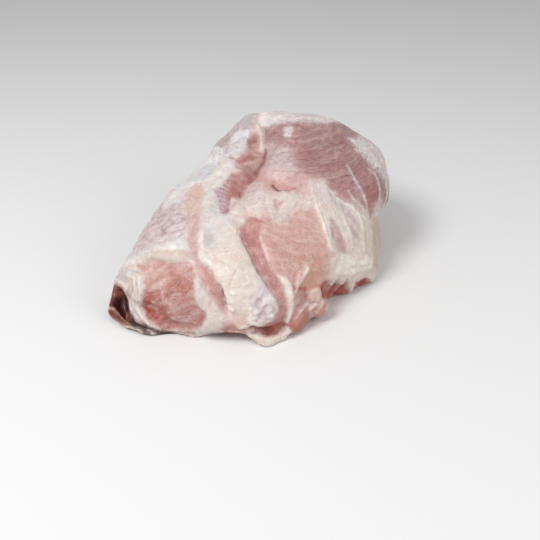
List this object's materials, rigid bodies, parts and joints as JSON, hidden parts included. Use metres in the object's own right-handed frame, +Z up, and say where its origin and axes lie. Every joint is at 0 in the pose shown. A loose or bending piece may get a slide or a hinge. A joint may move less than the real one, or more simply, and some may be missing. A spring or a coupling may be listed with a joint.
{
  "type": "boneless pork collar",
  "caption": "Raw boneless pork collar: marbled neck muscles under white fat and thin membrane, for roasting or slicing, resting on its underside.",
  "frame": {"origin": "on the surface the meat rests on, under the middle of its bounding box", "axes": "+X along the length to the domed shoulder end, +Y to the side with the membrane, +Z up"},
  "size_m": [0.2383, 0.1612, 0.1068],
  "materials": {
    "raw_pork": "moist raw muscle with cream fat and glossy thin membrane"
  },
  "bodies": {
    "root": {"pork_collar": "raw_pork"}
  },
  "joints": []
}
